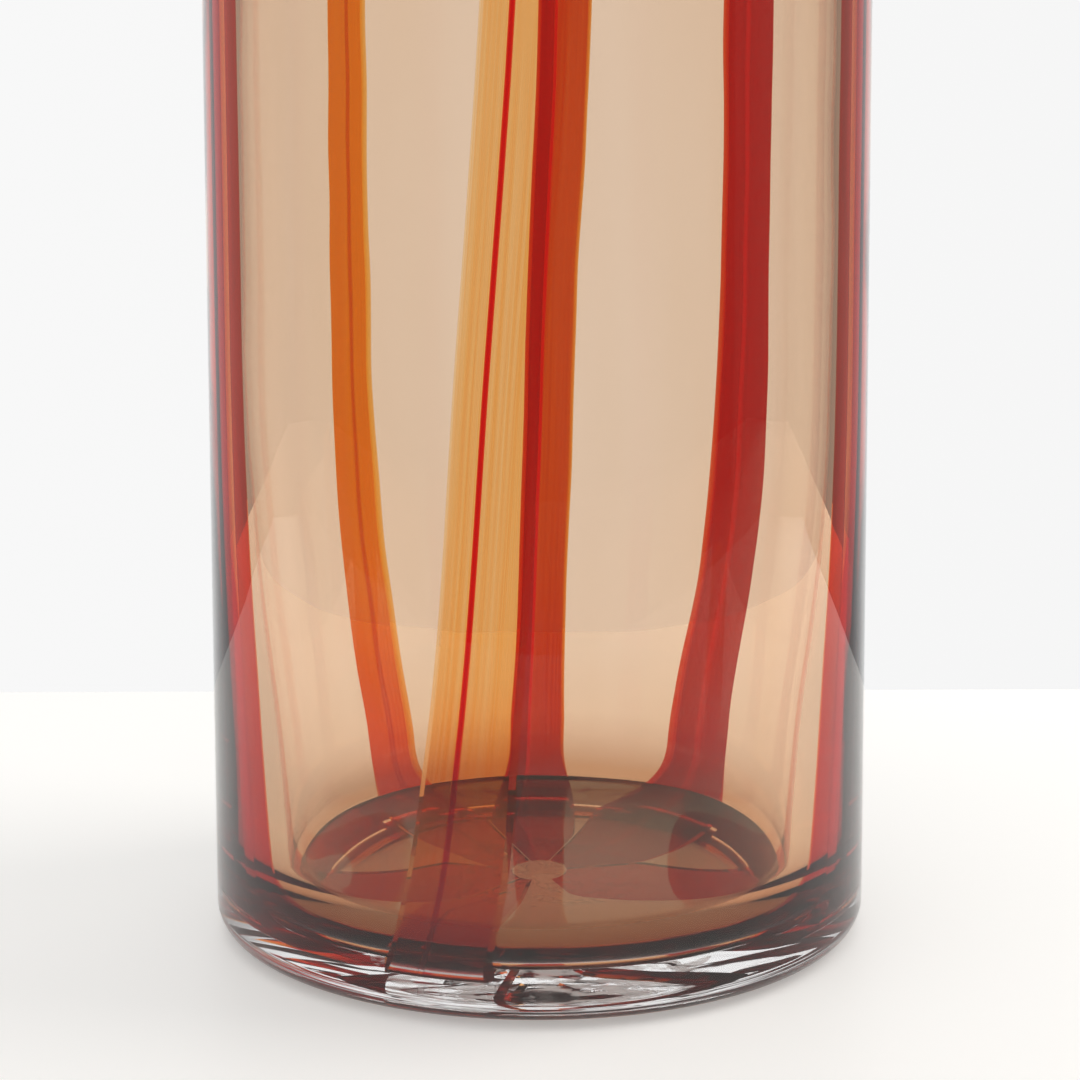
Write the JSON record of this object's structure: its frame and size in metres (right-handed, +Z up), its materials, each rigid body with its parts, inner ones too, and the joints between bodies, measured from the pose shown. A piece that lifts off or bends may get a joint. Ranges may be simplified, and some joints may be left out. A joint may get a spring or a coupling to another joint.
{
  "type": "cylinder vase",
  "caption": "Straight round blown-glass vase: clear casing over a brown lining, with upright orange and red ribbons sealed in the wall.",
  "frame": {"origin": "centre of the base on the surface it stands on", "axes": "+Z up along the vase's axis; the ribbon that crosses the front faces -Y"},
  "size_m": [0.09, 0.09, 0.24],
  "materials": {
    "clear_glass": "polished",
    "brown_glass": "polished",
    "orange_glass": "polished",
    "amber_glass": "polished",
    "red_glass": "polished"
  },
  "bodies": {
    "root": {"clear_casing": "clear_glass", "brown_underlay": "brown_glass", "front_ribbon_left_band": "orange_glass", "front_ribbon_thread": "red_glass", "front_ribbon_right_band": "amber_glass", "right_ribbon_left_band": "orange_glass", "right_ribbon_thread": "red_glass", "right_ribbon_right_band": "amber_glass", "back_right_ribbon_left_band": "orange_glass", "back_right_ribbon_thread": "red_glass", "back_right_ribbon_right_band": "amber_glass", "back_ribbon_left_band": "orange_glass", "back_ribbon_thread": "red_glass", "back_ribbon_right_band": "amber_glass", "back_left_ribbon_left_band": "orange_glass", "back_left_ribbon_thread": "red_glass", "back_left_ribbon_right_band": "amber_glass", "left_ribbon_left_band": "orange_glass", "left_ribbon_thread": "red_glass", "left_ribbon_right_band": "amber_glass"}
  },
  "joints": []
}
